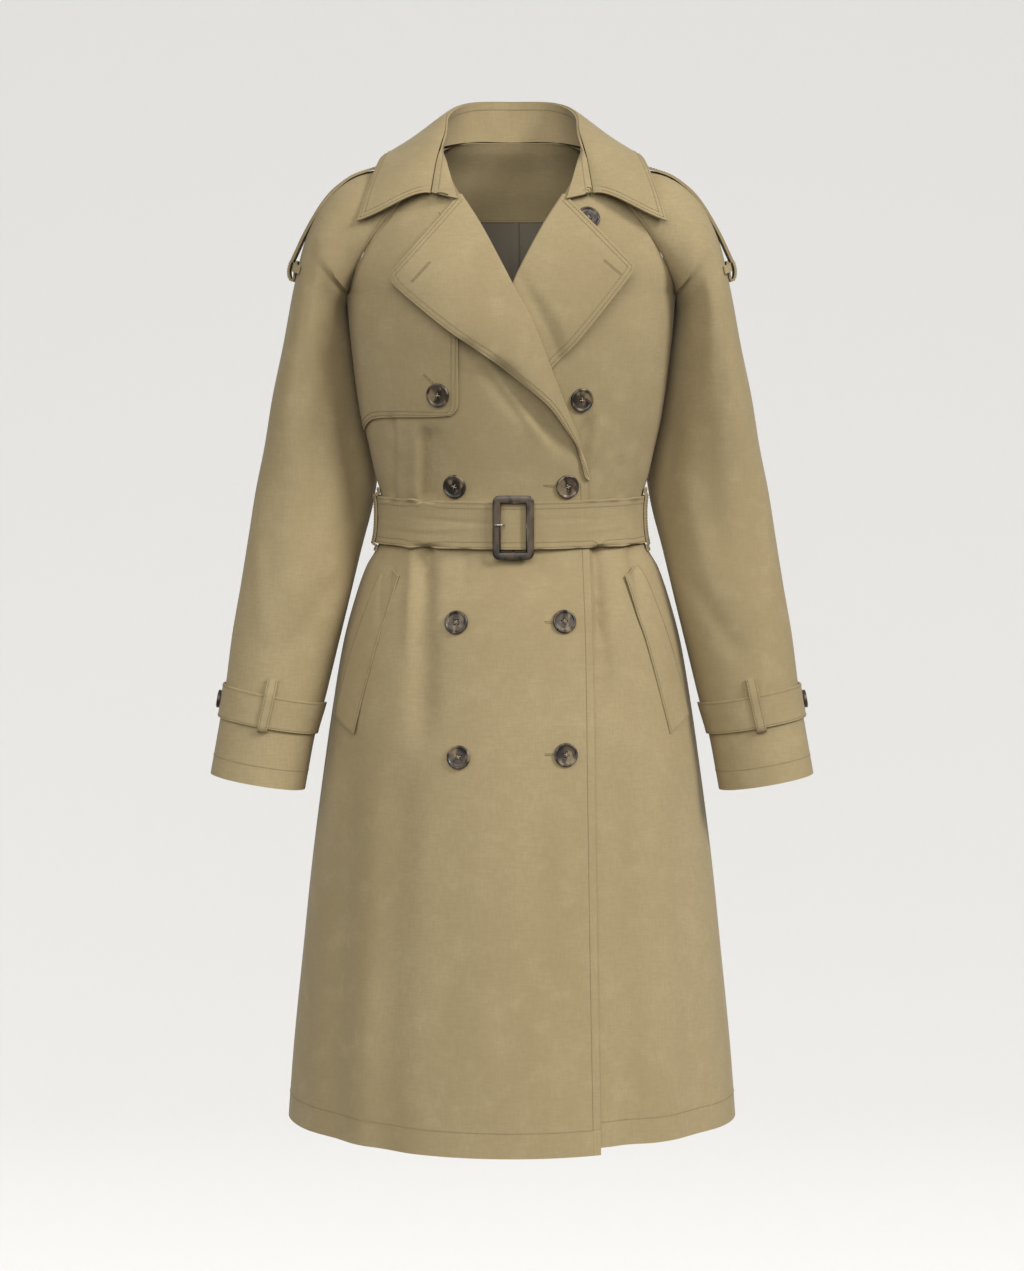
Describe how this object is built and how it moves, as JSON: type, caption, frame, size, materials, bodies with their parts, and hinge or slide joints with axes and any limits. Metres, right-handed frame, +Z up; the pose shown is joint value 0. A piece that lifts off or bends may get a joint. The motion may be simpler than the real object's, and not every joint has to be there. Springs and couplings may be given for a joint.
{
  "type": "trench coat",
  "caption": "Belted double-breasted trench coat in khaki gabardine with raglan sleeves, wide lapels, a gun flap, epaulettes and cuff straps.",
  "frame": {"origin": "between the shoulders at the height of the side of the neck, where the wearer's neck and shoulders carry the coat; the front faces -Y and the wearer's left is +X", "axes": "+Z up along the wearer's body, +Y towards the back"},
  "size_m": [0.661, 0.3614, 1.128],
  "materials": {
    "gabardine": "matt twill",
    "lining": "satin",
    "horn": "gloss",
    "wire": "satin"
  },
  "bodies": {
    "root": {"front_right": "gabardine", "front_left": "gabardine", "back": "gabardine", "sleeve_right": "gabardine", "sleeve_left": "gabardine", "collar_stand": "gabardine", "collar_fall": "gabardine", "lapel_right": "gabardine", "lapel_left": "gabardine", "gun_flap": "gabardine", "back_neck_facing": "gabardine", "pocket_welt_right": "gabardine", "pocket_welt_left": "gabardine", "belt": "gabardine", "belt_loop_right": "gabardine", "belt_loop_left": "gabardine", "epaulette_right": "gabardine", "epaulette_left": "gabardine", "keeper_right": "gabardine", "keeper_left": "gabardine", "cuff_strap_right": "gabardine", "cuff_strap_left": "gabardine", "cuff_loop_right": "gabardine", "cuff_loop_left": "gabardine", "back_lining": "lining", "buckle": "horn", "button_waist_right": "horn", "button_waist_left": "horn", "button_hip_right": "horn", "button_hip_left": "horn", "button_skirt_right": "horn", "button_skirt_left": "horn", "button_flap": "horn", "button_chest_left": "horn", "button_collar_left": "horn", "button_cuff_left": "horn", "button_cuff_right": "horn", "button_epaulette_left": "horn", "button_epaulette_right": "horn", "buckle_prong": "wire", "collar_hook": "wire", "collar_eye": "wire"}
  },
  "joints": []
}
